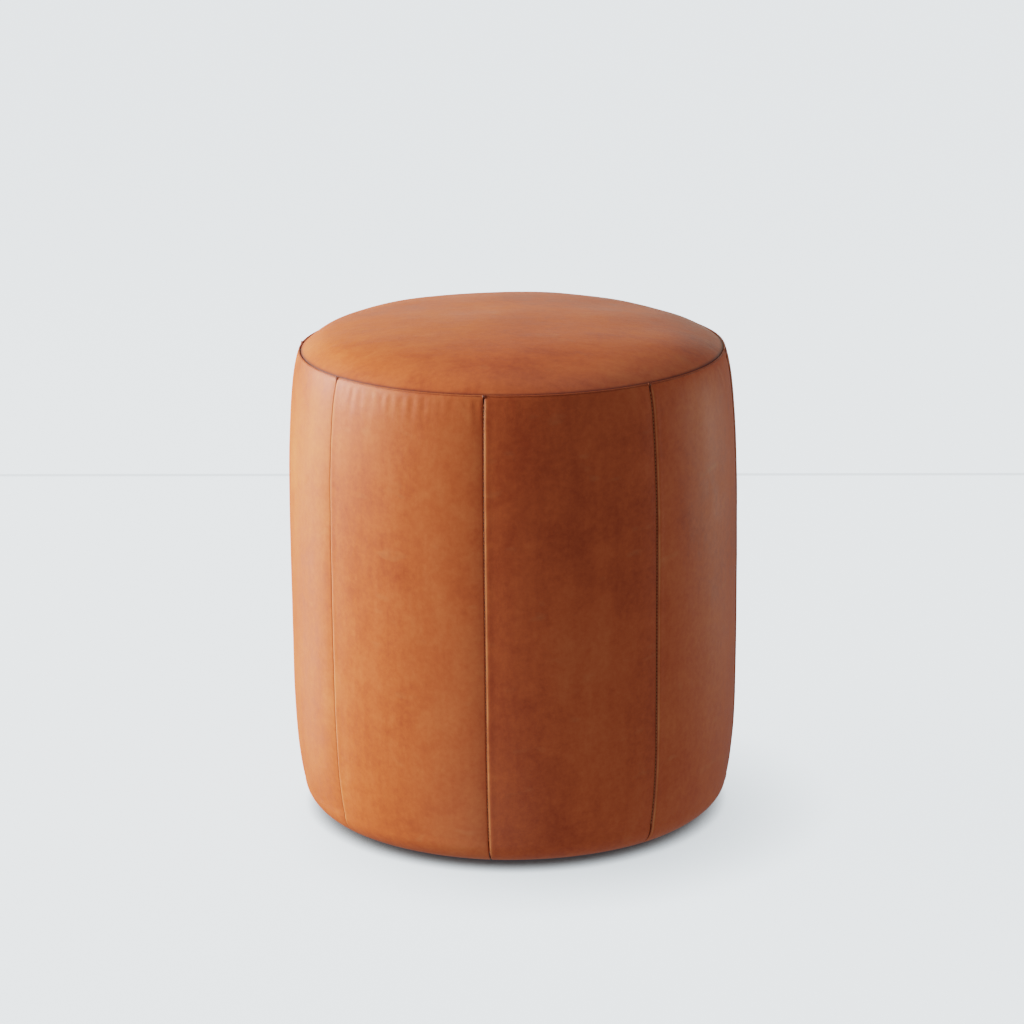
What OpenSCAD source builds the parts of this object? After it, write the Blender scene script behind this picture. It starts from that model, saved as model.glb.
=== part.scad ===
// Leather drum pouf: a sewn leather cover over wadding, foam and a plywood frame, on low glides.
// Millimetres, +Z up. The origin is on the floor, under the middle of the drum.
// Azimuths are in degrees, anticlockwise from +X as seen from above; the front is -Y.

/* [Drum] */
// Greatest diameter across the leather
drum_d = 406; // [330:1:500]
// Height from the floor to the top of the crown
drum_h = 457; // [370:1:560]
// How far the crown's middle stands above the top seam
crown_rise = 28; // [15:1:40]
// How flat the crown stays before it turns down to the seam
crown_power = 4.9; // [3:0.1:8]
// How much the radius draws in from the belly to the top seam
top_draw = 11.8; // [5:0.1:20]
// How much the radius draws in from the belly to the bottom edge
base_draw = 13; // [5:0.1:20]
// How late the walls start to draw in
wall_power = 4.6; // [3:0.1:8]
// Radius of the rounded bottom edge
bottom_round = 24; // [18:1:30]

/* [Leather cover] */
// Thickness of the leather
leather_t = 1.4; // [1:0.1:2]
// Azimuth of the first side seam
seam_turn = -97.2; // [-180:0.1:180]
// Depth of the edge turned in at each seam
seam_allowance = 8; // [5:0.5:11]
// Width of the leather turned under the base
tab_w = 22; // [16:1:28]
// Gap inside the fold at the top of a side panel
fold_gap = 0.4; // [0.2:0.1:1]
// Thickness of the seam thread, which sets the groove between two panels
thread_t = 0.8; // [0.5:0.1:1.2]
// Depth of the thread below the leather's surface
thread_depth = 0.9; // [0.5:0.1:2]

/* [Padding] */
// Thickness of the wadding under the leather
batting_t = 10; // [6:0.5:14]
// Thickness of the seat foam at its rim
seat_foam_t = 55; // [40:1:80]

/* [Frame] */
// Thickness of the seat board
seat_board_t = 12; // [9:1:18]
// Thickness of the base board
base_board_t = 15; // [12:1:21]
// Thickness of the middle ring
ring_t = 9; // [6:1:15]
// How far the middle ring reaches inside the posts
ring_lip = 12; // [8:1:25]
// Thickness of the bent shell board
shell_t = 3; // [2:0.5:4]
// Gap at the shell's butt joint
shell_joint = 1; // [0.5:0.5:3]
// Side of a square post
post_w = 30; // [24:1:38]
// Azimuth of the first post
post_turn = 20; // [0:1:59]
// Clearance between wooden pieces that slide past each other in assembly
wood_clear = 0.5; // [0.2:0.1:1]
// Length of a frame screw
frame_screw_l = 50; // [40:5:70]
// Shank diameter of a frame screw
frame_screw_d = 4; // [3:0.5:5]
// Head diameter of a frame screw
frame_head_d = 8; // [7:0.5:10]

/* [Staples] */
// Length of a staple's crown
staple_w = 10; // [8:1:12]
// Thickness of the staple wire
staple_t = 0.6; // [0.5:0.1:0.9]
// Length of a staple's legs
staple_l = 8; // [6:1:9]
// Staples of each row round the shell between one post and the next
shell_staple_count = 2; // [1:1:3]

/* [Base] */
// Height of the leather's bottom edge above the floor
foot_gap = 5; // [4:0.5:8]
// Thickness of the dust cover cloth
dust_t = 0.6; // [0.3:0.1:1]
// How far the dust cover's edge lies inside the frame
dust_inset = 5; // [3:1:8]
// Gap between a glide's edge and the cut edge of the leather
glide_inset = 9.5; // [5:0.5:20]
// Diameter of a glide
glide_d = 30; // [24:1:34]
// Diameter of the boss that passes through the dust cover
boss_d = 14; // [12:0.5:16]
// Clearance round the boss in the dust cover
boss_clear = 0.4; // [0.2:0.1:1]
// Shank diameter of a glide screw
glide_screw_d = 3.5; // [3:0.5:4]
// Head diameter of a glide screw
glide_head_d = 7; // [6:0.5:8]
// Height of a glide screw's head
glide_head_h = 1.6; // [1.2:0.1:2]
// Depth of a glide screw's head inside the glide
head_sink = 0.6; // [0.3:0.1:1]
// Length of a glide screw under its head
glide_screw_l = 15; // [12:1:16]

/* [Hidden] */
PANELS = 8;
POSTS = 6;
$fn = 96;

CURVE_STEPS = 14;      // steps along each half of the wall, and along the crown
ARC_STEPS = 8;         // steps round the bottom edge
FOLD_STEPS = 6;        // steps round the fold at the top seam
SOFT_CLEAR = 0.3;      // gap between a seam allowance and the padding round it
FLANGE_CLEAR = 1;      // gap under a seam allowance
LEATHER_STAPLES = 3;   // staples through each panel's tab
DUST_STAPLES = 2;      // staples over each panel's tab that hold the dust cover
LEATHER_ROW = 0.6;     // where the leather's staples lie on the tab, as a share of its width
DUST_ROW = 0.2;        // how far inside the dust cover's edge its staples lie, as the same share
CUT = 1;               // how far a cutting shape runs past what it cuts
REACH = 2 * drum_d;    // longer than anything in the drum

panel_a = 360 / PANELS;
post_a = 360 / POSTS;

// Wall of the drum, at the leather's outer face
wall_low = foot_gap;
wall_high = drum_h - crown_rise;
wall_mid = (wall_low + wall_high) / 2;
wall_half = (wall_high - wall_low) / 2;
round_z = wall_low + bottom_round;
function draw_at(t) = (t > 0 ? top_draw : base_draw) * pow(abs(t), wall_power);
function wall_r(z) = drum_d / 2 - draw_at((z - wall_mid) / wall_half);

// Top seam, from the outside in: side panel's fold, thread, top panel's turned edge
fold_r = leather_t + fold_gap / 2;
seam_r = wall_r(wall_high);
top_r = seam_r - 2 * fold_r - thread_t;
function crown_z(r) = wall_high + crown_rise * (1 - pow(r / top_r, crown_power));
crown_line = [
    for (i = [0 : CURVE_STEPS])
        let (r = top_r * sin(90 * i / CURVE_STEPS))
        [r, crown_z(r)]
];

// Frame: it fills the flat of the base inside the rounded edge
frame_r = wall_r(round_z) - bottom_round;
board_r = frame_r - shell_t;
base_z = foot_gap + leather_t;
post_mid_r = sqrt(pow(board_r - wood_clear, 2) - pow(post_w / 2, 2)) - post_w / 2;
tab_r = frame_r - tab_w;
shell_staple_r = sqrt(pow(frame_r, 2) - pow(staple_w / 2, 2));

// Padding
pad_r = top_r - leather_t - SOFT_CLEAR;
rim_z = lookup(pad_r, crown_line) - leather_t;
seat_top = rim_z - batting_t - seat_foam_t;
side_top = min(rim_z - batting_t, wall_high - seam_allowance - FLANGE_CLEAR);
post_low = base_z + base_board_t;
post_high = seat_top - seat_board_t;
ring_z = (post_low + post_high - ring_t) / 2;

// Under the base
glide_top = foot_gap - dust_t;
dust_r = frame_r - dust_inset;
leather_staple_r = frame_r - tab_w * LEATHER_ROW;
dust_staple_r = dust_r - tab_w * DUST_ROW;
glide_r = tab_r - glide_inset - glide_d / 2;

// Points [r, z] along the outer face of the wall, moved inwards by inset, from the underside at
// radius r_from, round the bottom edge and up to the height z_to.
function arc_start(inset, r_from) =
    -acos(min(1, max(0, (r_from - frame_r) / (bottom_round - inset))));
function arc_points(inset, r_from) = [
    for (i = [0 : ARC_STEPS])
        let (a = arc_start(inset, r_from) * (1 - i / ARC_STEPS))
        [frame_r + (bottom_round - inset) * cos(a), round_z + (bottom_round - inset) * sin(a)]
];
function wall_points(inset, z_from, z_to) = [
    for (i = [0 : 2 * CURVE_STEPS])
        let (z = z_from + (z_to - z_from) * (1 - cos(90 * i / CURVE_STEPS)) / 2)
        [wall_r(z) - inset, z]
];
function side_points(inset, r_from, z_to) = concat(
    arc_points(inset, r_from),
    [for (p = wall_points(inset, round_z, z_to)) if (p[1] > round_z) p]
);

// Points of the crown at a depth below the leather's surface, from the axis out to r_to; every layer
// shares the leather's own points, so that the layers nest
function crown_points(depth, r_to) = concat(
    [for (p = crown_line) if (p[0] < r_to) [p[0], p[1] - depth]],
    [[r_to, lookup(r_to, crown_line) - depth]]
);

function reversed(list) = [for (i = [len(list) - 1 : -1 : 0]) list[i]];

// A ring-shaped layer between two insets of the wall, from the frame out
module side_layer(outer_inset, inner_points) {
    rotate_extrude()
        polygon(concat(side_points(outer_inset, frame_r, side_top), inner_points));
}

// Everything between the two seam planes of panel i, at a distance inside each
module panel_wedge(i, inside) {
    tip = inside / sin(panel_a / 2);
    rotate([0, 0, seam_turn + (i - 1) * panel_a])
        translate([tip * cos(panel_a / 2), tip * sin(panel_a / 2), 0])
            linear_extrude(drum_h)
                polygon([[0, 0], [REACH, 0], REACH * [cos(panel_a), sin(panel_a)]]);
}

// A panel in section where its side edges turn in: tab, rounded bottom edge, wall as deep as the
// turned edges, and the hairpin fold at the top seam
module edge_section() {
    fold_z = wall_high - fold_r;
    fold_mid = wall_r(fold_z) - fold_r;
    inner_r = fold_gap / 2;
    flange_z = wall_high - seam_allowance;
    polygon(concat(
        [[tab_r, wall_low]],
        side_points(0, frame_r, fold_z),
        [for (i = [1 : FOLD_STEPS]) let (a = 180 * i / FOLD_STEPS)
            [fold_mid + fold_r * cos(a), fold_z + fold_r * sin(a)]],
        [[fold_mid - fold_r, flange_z], [fold_mid - inner_r, flange_z]],
        [for (i = [FOLD_STEPS : -1 : 0]) let (a = 180 * i / FOLD_STEPS)
            [fold_mid + inner_r * cos(a), fold_z + inner_r * sin(a)]],
        [[wall_r(side_top) - leather_t, side_top]],
        reversed(wall_points(leather_t + seam_allowance, round_z, side_top)),
        reversed(arc_points(leather_t, frame_r)),
        [[tab_r, wall_low + leather_t]]
    ));
}

// The room behind a panel's skin, between its turned edges
module behind_skin(i) {
    depth = leather_t + seam_allowance + CUT;
    intersection() {
        rotate_extrude()
            polygon(concat(
                wall_points(leather_t, round_z, side_top),
                reversed(wall_points(depth, round_z, side_top))
            ));
        panel_wedge(i, thread_t / 2 + leather_t);
    }
}

// A staple lying across X, its crown's outer face on z = 0 and its legs up; with room over the crown
// where it cuts its own recess
module staple(room = 0) {
    translate([-staple_w / 2, -staple_t / 2, -room])
        cube([staple_w, staple_t, staple_t + room]);
    for (x = [-staple_w / 2, staple_w / 2 - staple_t])
        translate([x, -staple_t / 2, 0])
            cube([staple_t, staple_t, staple_l]);
}

// Staples under panel i: a row at radius r, spread over the panel, pressed in from height z
module base_row(i, r, z, count) {
    for (k = [1 : count])
        rotate([0, 0, seam_turn + (i - 1 + (k - 0.5) / count) * panel_a])
            translate([r, 0, z])
                rotate([0, 0, 90])
                    staple();
}

module panel_staples(i) base_row(i, leather_staple_r, wall_low, LEATHER_STAPLES);
module panel_dust_staples(i) base_row(i, dust_staple_r, wall_low - dust_t - staple_t, DUST_STAPLES);

// One row of staples through the shell at height z, pointing inwards between the posts
module shell_row(z, room) {
    for (k = [1 : POSTS * shell_staple_count])
        rotate([0, 0, post_turn + (k - 0.5) * post_a / shell_staple_count])
            translate([shell_staple_r, 0, z])
                rotate([0, -90, 0])
                    rotate([0, 0, 90])
                        staple(room);
}

module seat_row(room = 0) shell_row(seat_top - seat_board_t / 2, room);
module ring_row(room = 0) shell_row(ring_z + ring_t / 2, room);
module base_board_row(room = 0) shell_row(base_z + base_board_t / 2, room);

// Places its children at each post
module at_posts() {
    for (i = [1 : POSTS])
        rotate([0, 0, post_turn + (i - 1) * post_a])
            translate([post_mid_r, 0, 0])
                children();
}

// A countersunk screw pointing up, its head's face on z = 0
module frame_screw() {
    head_h = (frame_head_d - frame_screw_d) / 2;
    rotate_extrude()
        polygon([
            [0, 0], [frame_head_d / 2, 0], [frame_screw_d / 2, head_h],
            [frame_screw_d / 2, frame_screw_l - frame_screw_d], [0, frame_screw_l]
        ]);
}

module base_screw_set() at_posts() translate([0, 0, base_z]) frame_screw();
module seat_screw_set() at_posts() translate([0, 0, seat_top]) mirror([0, 0, 1]) frame_screw();

// A glide's pan-head screw, pointing up, sunk into the glide
module glide_screw() {
    translate([0, 0, head_sink])
        rotate_extrude()
            polygon([
                [0, 0], [glide_head_d / 2, 0], [glide_head_d / 2, glide_head_h],
                [glide_screw_d / 2, glide_head_h],
                [glide_screw_d / 2, glide_head_h + glide_screw_l - glide_screw_d],
                [0, glide_head_h + glide_screw_l]
            ]);
}

// Places its children at glide i
module at_glide(i) {
    rotate([0, 0, post_turn + (i - 1) * post_a])
        translate([glide_r, 0, 0])
            children();
}

module glide_screw_set() for (i = [1 : POSTS]) at_glide(i) glide_screw();

module top_panel() {
    flange_z = wall_high - seam_allowance;
    color("sienna")
        rotate_extrude()
            polygon(concat(
                crown_points(0, top_r),
                [[top_r, flange_z], [top_r - leather_t, flange_z]],
                reversed(crown_points(leather_t, top_r - leather_t))
            ));
}

module side_panel(i) {
    color("sienna")
        difference() {
            intersection() {
                rotate_extrude() edge_section();
                panel_wedge(i, thread_t / 2);
            }
            behind_skin(i);
            panel_staples(i);
            panel_dust_staples(i);
        }
}

module top_seam_thread() {
    thread_z = wall_high - fold_r - thread_t;
    color("saddlebrown")
        translate([0, 0, thread_z])
            difference() {
                cylinder(r = top_r + thread_t, h = thread_t);
                translate([0, 0, -CUT]) cylinder(r = top_r, h = thread_t + 2 * CUT);
            }
}

module side_seam_threads() {
    top = wall_high - 2 * fold_r;
    color("saddlebrown")
        for (i = [0 : PANELS - 1])
            rotate([0, 0, seam_turn + i * panel_a])
                translate([0, thread_t / 2, 0])
                    rotate([90, 0, 0])
                        linear_extrude(thread_t)
                            polygon(concat(
                                wall_points(thread_depth, round_z, top),
                                reversed(wall_points(thread_depth + thread_t, round_z, top))
                            ));
}

// The seat's wadding, whose rim reaches down to the side's wadding
module seat_batting() {
    color("whitesmoke")
        rotate_extrude()
            polygon(concat(
                crown_points(leather_t, pad_r),
                [[pad_r, side_top], [frame_r, side_top]],
                reversed(crown_points(leather_t + batting_t, frame_r))
            ));
}

// Slots in the side padding for the turned edges of the side seams
module allowance_slots() {
    slot_w = thread_t + 2 * (leather_t + SOFT_CLEAR);
    for (i = [0 : PANELS - 1])
        rotate([0, 0, seam_turn + i * panel_a])
            translate([0, slot_w / 2, 0])
                rotate([90, 0, 0])
                    linear_extrude(slot_w)
                        polygon(concat(
                            wall_points(-CUT, round_z - SOFT_CLEAR, side_top + CUT),
                            reversed(wall_points(leather_t + seam_allowance + SOFT_CLEAR,
                                round_z - SOFT_CLEAR, side_top + CUT))
                        ));
}

module side_batting() {
    color("whitesmoke")
        difference() {
            side_layer(leather_t, reversed(side_points(leather_t + batting_t, frame_r, side_top)));
            allowance_slots();
        }
}

module side_foam() {
    color("wheat")
        difference() {
            side_layer(leather_t + batting_t, [[frame_r, side_top]]);
            allowance_slots();
        }
}

module seat_foam() {
    color("wheat")
        rotate_extrude()
            polygon(concat(
                crown_points(leather_t + batting_t, frame_r - SOFT_CLEAR),
                [[frame_r - SOFT_CLEAR, seat_top], [0, seat_top]]
            ));
}

module seat_board() {
    color("burlywood")
        difference() {
            translate([0, 0, seat_top - seat_board_t]) cylinder(r = board_r, h = seat_board_t);
            seat_screw_set();
            seat_row();
        }
}

module base_board() {
    color("burlywood")
        difference() {
            translate([0, 0, base_z]) cylinder(r = board_r, h = base_board_t);
            base_screw_set();
            base_board_row();
            glide_screw_set();
            for (i = [1 : PANELS]) {
                panel_staples(i);
                panel_dust_staples(i);
            }
        }
}

module mid_ring() {
    notch_r = post_mid_r - post_w / 2 - wood_clear;
    notch_w = post_w + 2 * wood_clear;
    color("burlywood")
        difference() {
            translate([0, 0, ring_z]) cylinder(r = board_r, h = ring_t);
            translate([0, 0, ring_z - CUT]) cylinder(r = notch_r - ring_lip, h = ring_t + 2 * CUT);
            for (i = [1 : POSTS])
                rotate([0, 0, post_turn + (i - 1) * post_a])
                    translate([notch_r, -notch_w / 2, ring_z - CUT])
                        cube([drum_d, notch_w, ring_t + 2 * CUT]);
            ring_row();
        }
}

module post(i) {
    color("tan")
        difference() {
            rotate([0, 0, post_turn + (i - 1) * post_a])
                translate([post_mid_r - post_w / 2, -post_w / 2, post_low])
                    cube([post_w, post_w, post_high - post_low]);
            base_screw_set();
            seat_screw_set();
        }
}

module shell_board() {
    color("peru")
        difference() {
            translate([0, 0, base_z]) cylinder(r = frame_r, h = seat_top - base_z);
            translate([0, 0, base_z - CUT]) cylinder(r = board_r, h = seat_top - base_z + 2 * CUT);
            rotate([0, 0, post_turn + post_a])
                translate([0, -shell_joint / 2, 0])
                    cube([drum_d, shell_joint, drum_h]);
            seat_row(CUT);
            ring_row(CUT);
            base_board_row(CUT);
        }
}

module shell_staples() {
    color("silver") {
        seat_row();
        ring_row();
        base_board_row();
    }
}

module seat_screws() color("goldenrod") seat_screw_set();
module base_screws() color("goldenrod") base_screw_set();
module leather_staples() color("silver") for (i = [1 : PANELS]) panel_staples(i);
module dust_cover_staples() color("silver") for (i = [1 : PANELS]) panel_dust_staples(i);
module glide_screws() color("silver") glide_screw_set();

module dust_cover() {
    color("black")
        difference() {
            translate([0, 0, wall_low - dust_t]) cylinder(r = dust_r, h = dust_t);
            for (i = [1 : POSTS])
                at_glide(i) cylinder(d = boss_d + 2 * boss_clear, h = 2 * foot_gap);
            for (i = [1 : PANELS])
                panel_dust_staples(i);
        }
}

module glide(i) {
    edge = 0.8;
    color("dimgray")
        at_glide(i)
            difference() {
                rotate_extrude()
                    polygon([
                        [0, 0], [glide_d / 2 - edge, 0], [glide_d / 2, edge],
                        [glide_d / 2, glide_top - edge], [glide_d / 2 - edge, glide_top],
                        [boss_d / 2, glide_top], [boss_d / 2, base_z], [0, base_z]
                    ]);
                translate([0, 0, -CUT]) cylinder(d = glide_screw_d, h = base_z + 2 * CUT);
                translate([0, 0, -CUT]) cylinder(d = glide_head_d, h = CUT + head_sink + glide_head_h);
            }
}

top_panel();
for (i = [1 : PANELS])
    side_panel(i);
top_seam_thread();
side_seam_threads();
seat_batting();
side_batting();
seat_foam();
side_foam();
seat_board();
mid_ring();
base_board();
for (i = [1 : POSTS])
    post(i);
shell_board();
shell_staples();
seat_screws();
base_screws();
leather_staples();
dust_cover();
dust_cover_staples();
for (i = [1 : POSTS])
    glide(i);
glide_screws();
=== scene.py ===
"""The looks of a leather drum pouf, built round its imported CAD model. Metres, +Z up, the front is -Y."""

import math

import bmesh
import bpy
import numpy as np
from mathutils import Matrix, Vector


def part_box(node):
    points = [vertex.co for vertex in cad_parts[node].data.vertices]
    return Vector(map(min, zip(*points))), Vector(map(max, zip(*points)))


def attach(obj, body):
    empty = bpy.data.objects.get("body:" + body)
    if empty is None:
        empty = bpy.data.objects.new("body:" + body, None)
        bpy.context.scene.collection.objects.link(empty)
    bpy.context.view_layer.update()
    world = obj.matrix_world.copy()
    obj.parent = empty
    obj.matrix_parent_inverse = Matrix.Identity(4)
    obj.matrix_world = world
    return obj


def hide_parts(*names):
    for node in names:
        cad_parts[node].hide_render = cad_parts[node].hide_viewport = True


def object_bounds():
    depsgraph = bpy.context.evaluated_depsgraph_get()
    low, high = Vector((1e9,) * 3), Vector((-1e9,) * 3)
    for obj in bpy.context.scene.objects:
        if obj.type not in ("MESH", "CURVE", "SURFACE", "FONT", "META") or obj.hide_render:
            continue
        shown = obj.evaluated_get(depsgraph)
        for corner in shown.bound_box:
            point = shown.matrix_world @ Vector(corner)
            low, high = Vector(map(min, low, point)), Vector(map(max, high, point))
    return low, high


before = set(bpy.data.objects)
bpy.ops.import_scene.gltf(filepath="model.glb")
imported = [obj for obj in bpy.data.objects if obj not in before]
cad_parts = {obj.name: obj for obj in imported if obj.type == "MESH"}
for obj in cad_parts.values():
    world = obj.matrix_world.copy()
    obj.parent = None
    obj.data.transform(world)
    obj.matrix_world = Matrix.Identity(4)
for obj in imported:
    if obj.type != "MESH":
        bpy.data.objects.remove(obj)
CAD_LOW, CAD_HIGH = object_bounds()

# ---------------------------------------------------------------- sizes of the drum

PANELS = 8
POSTS = 6
PANEL_ANGLE = 2 * math.pi / PANELS
SEAM_TURN = math.radians(-97.2)  # azimuth of the first side seam, anticlockwise from +X

DRUM_R = CAD_HIGH.x
WALL_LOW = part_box("side_panel_1")[0].z
WALL_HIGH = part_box("side_panel_1")[1].z
FRAME_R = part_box("shell_board")[1].x

MM = 0.001
TOP_DRAW = 9.4 * MM
TOP_POWER = 3.6
SHOULDER_DRAW = 3.0 * MM
SHOULDER_H = 28 * MM
BASE_DRAW = 13 * MM
BASE_POWER = 4.6
SEAM_R = DRUM_R - 13.4 * MM
SEAM_Z = WALL_HIGH - 0.8 * MM
DOME_H = 14 * MM
CROWN_H = 14.8 * MM
CROWN_POWER = 9.5
CROWN_LEAN = 0.010  # how far the crown leans to the left, as a slope
BOTTOM_ROUND = 24 * MM
SKIN_T = 1.2 * MM
ALLOWANCE = 8 * MM
TAB_W = 22 * MM
BATTING_T = 10 * MM
SEAM_ROLL = 1.6 * MM
CROWN_ROLL = 2.0 * MM
SEAM_GAP = 0.28 * MM

# ---------------------------------------------------------------- small helpers


def smooth(low, high, x):
    """0 below low, 1 above high, with a smooth step between."""
    t = np.clip((x - low) / (high - low), 0, 1)
    return t * t * (3 - 2 * t)


def bell(x, width):
    """A bell curve of height 1."""
    return np.exp(-((x / width) ** 2))


def wall_r(z):
    """Radius of the leather's outer face at height z: a long curve, then a rounder shoulder at the top."""
    middle = (WALL_LOW + SEAM_Z) / 2
    t = (z - middle) / (SEAM_Z - middle)
    draw = np.where(t > 0, TOP_DRAW * np.abs(t) ** TOP_POWER, BASE_DRAW * np.abs(t) ** BASE_POWER)
    rise = np.clip((z - SEAM_Z + SHOULDER_H) / SHOULDER_H, 0, 1)
    return DRUM_R - draw - SHOULDER_DRAW * (1 - np.sqrt(1 - rise**2))


def crown_z(r):
    """Height of the top panel's outer face at radius r: a low dome on a crown with a full edge."""
    share = r / SEAM_R
    return SEAM_Z + DOME_H * (1 - share**2) + CROWN_H * (1 - share**CROWN_POWER)


def crown_slope(r):
    """How steeply the top panel falls at radius r."""
    share = r / SEAM_R
    return (2 * DOME_H * share + CROWN_POWER * CROWN_H * share ** (CROWN_POWER - 1)) / SEAM_R


def waves(seed, count, shortest, longest):
    """A smooth random function of two lengths, made of plane waves, with values of about -1 to 1."""
    rng = np.random.default_rng(seed)
    lengths = shortest * (longest / shortest) ** rng.random(count)
    turns = rng.random(count) * 2 * math.pi
    phases = rng.random(count) * 2 * math.pi
    weights = (lengths / longest) ** 0.5
    weights = weights / np.sqrt((weights**2).sum() / 2)

    def value(a, b):
        total = np.zeros(np.broadcast(a, b).shape)
        for length, turn, phase, weight in zip(lengths, turns, phases, weights):
            run = a * math.cos(turn) + b * math.sin(turn)
            total = total + weight * np.sin(2 * math.pi * run / length + phase)
        return total / 2

    return value


def grid_normals(points):
    """Unit normals of a grid of points, rows by columns by 3."""
    down = np.gradient(points, axis=0)
    across = np.gradient(points, axis=1)
    normal = np.cross(down, across)
    size = np.linalg.norm(normal, axis=2, keepdims=True)
    return normal / np.maximum(size, 1e-12)


def grid_faces(rows, columns, first, flip=False, wrap=False):
    """Quads of a grid whose points are numbered row by row from first."""
    row = np.arange(rows - 1)[:, None]
    column = np.arange(columns if wrap else columns - 1)[None, :]
    after = (column + 1) % columns
    a = first + row * columns + column
    b = first + row * columns + after
    c = first + (row + 1) * columns + after
    d = first + (row + 1) * columns + column
    order = (a, d, c, b) if flip else (a, b, c, d)
    return np.stack(np.broadcast_arrays(*order), axis=-1).reshape(-1, 4)


def mesh_object(name, points, faces, smooth_shaded=True):
    """A new mesh object at the origin, linked to the scene."""
    mesh = bpy.data.meshes.new(name)
    mesh.from_pydata([tuple(p) for p in points], [], [tuple(int(i) for i in f) for f in faces])
    mesh.validate()
    mesh.polygons.foreach_set("use_smooth", [smooth_shaded] * len(mesh.polygons))
    mesh.update()
    made = bpy.data.objects.new(name, mesh)
    bpy.context.scene.collection.objects.link(made)
    return made


def thick_sheet(name, outer, thickness, wrap=False):
    """A closed sheet from a grid of points on its outer face, whose normals point outwards."""
    rows, columns = outer.shape[:2]
    inner = outer - thickness * grid_normals(outer)
    if wrap:
        closed = np.concatenate([outer[:, -1:], outer, outer[:, :1]], axis=1)
        inner = outer - thickness * grid_normals(closed)[:, 1:-1]
    count = rows * columns
    points = np.concatenate([outer.reshape(-1, 3), inner.reshape(-1, 3)])
    faces = [
        grid_faces(rows, columns, 0, wrap=wrap),
        grid_faces(rows, columns, count, flip=True, wrap=wrap),
    ]
    around = np.arange(columns) if wrap else np.arange(columns - 1)
    after = (around + 1) % columns
    last = (rows - 1) * columns
    faces.append(np.stack([after, around, around + count, after + count], axis=-1))
    faces.append(
        np.stack([last + around, last + after, last + after + count, last + around + count], axis=-1)
    )
    if not wrap:
        row = np.arange(rows - 1) * columns
        below = row + columns
        right, right_below = row + columns - 1, below + columns - 1
        faces.append(np.stack([row, below, below + count, row + count], axis=-1))
        faces.append(
            np.stack([right_below, right, right + count, right_below + count], axis=-1)
        )
    return mesh_object(name, points, np.concatenate(faces))


def point_attribute(obj, name, values):
    """Stores one number for each point of a mesh."""
    attribute = obj.data.attributes.new(name, "FLOAT", "POINT")
    attribute.data.foreach_set("value", np.asarray(values, np.float32).ravel())


def finish_piece(obj, material, slot, *nodes):
    """Gives a piece its material, and puts it in place of CAD nodes. Its slot is not used."""
    obj.data.materials.clear()
    obj.data.materials.append(material)
    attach(obj, "root")
    if nodes:
        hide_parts(*nodes)
    return obj


# ---------------------------------------------------------------- node material helpers


class Nodes:
    """Builds a node material, one node to a call."""

    def __init__(self, name):
        self.material = bpy.data.materials.new(name)
        self.material.use_nodes = True
        self.tree = self.material.node_tree
        self.shader = self.tree.nodes["Principled BSDF"]
        self.place = self.tree.nodes.new("ShaderNodeTexCoord").outputs["Object"]

    def new(self, kind, inputs=None, **settings):
        node = self.tree.nodes.new(kind)
        for key, value in settings.items():
            setattr(node, key, value)
        for key, value in (inputs or {}).items():
            self.put(node.inputs[key], value)
        return node

    def put(self, socket, value):
        """Links an output to a socket, or sets the socket's own value."""
        if isinstance(value, bpy.types.NodeSocket):
            self.tree.links.new(value, socket)
        else:
            socket.default_value = value

    def stretched(self, scale, turn=(0, 0, 0)):
        """Object coordinates scaled along each axis, in cells per metre."""
        node = self.new("ShaderNodeMapping", {"Vector": self.place, "Scale": scale, "Rotation": turn})
        return node.outputs["Vector"]

    def noise(self, scale, detail=3.0, roughness=0.5, vector=None, distortion=0.0):
        node = self.new(
            "ShaderNodeTexNoise",
            {
                "Vector": vector or self.place,
                "Scale": scale,
                "Detail": detail,
                "Roughness": roughness,
                "Distortion": distortion,
            },
        )
        return node.outputs["Fac"]

    def cells(self, scale, feature="F1", output="Distance", vector=None):
        node = self.new(
            "ShaderNodeTexVoronoi", {"Vector": vector or self.place, "Scale": scale}, feature=feature
        )
        return node.outputs[output]

    def ramp(self, value, low, high, out_low=0.0, out_high=1.0):
        node = self.new(
            "ShaderNodeMapRange",
            {"Value": value, "From Min": low, "From Max": high, "To Min": out_low, "To Max": out_high},
        )
        return node.outputs["Result"]

    def math(self, operation, a, b=0.0):
        node = self.new("ShaderNodeMath", {0: a, 1: b}, operation=operation)
        return node.outputs["Value"]

    def mix(self, factor, a, b, blend="MIX"):
        node = self.new("ShaderNodeMix", data_type="RGBA", blend_type=blend)
        self.put(node.inputs["Factor"], factor)
        self.put(node.inputs[6], a)
        self.put(node.inputs[7], b)
        return node.outputs[2]

    def attribute(self, name):
        return self.new("ShaderNodeAttribute", attribute_name=name).outputs["Fac"]

    def bump(self, height, distance, strength=1.0, normal=None):
        inputs = {"Height": height, "Distance": distance, "Strength": strength}
        if normal:
            inputs["Normal"] = normal
        return self.new("ShaderNodeBump", inputs).outputs["Normal"]

    def direction(self, vector):
        return self.new("ShaderNodeCombineXYZ", dict(zip("XYZ", vector))).outputs["Vector"]

    def openness(self, reach, samples, normal=None):
        """1 where nothing stands within reach of the surface, down to 0 where it is shut in, as seen along
        its own normal or another direction."""
        inputs = {"Distance": reach}
        if normal:
            inputs["Normal"] = normal
        return self.new("ShaderNodeAmbientOcclusion", inputs, samples=samples).outputs["AO"]

    def finish(self, colour, roughness, normal=None, **constants):
        self.put(self.shader.inputs["Base Color"], colour)
        self.put(self.shader.inputs["Roughness"], roughness)
        if normal:
            self.put(self.shader.inputs["Normal"], normal)
        for key, value in constants.items():
            self.shader.inputs[key.replace("_", " ")].default_value = value
        return self.material


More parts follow.
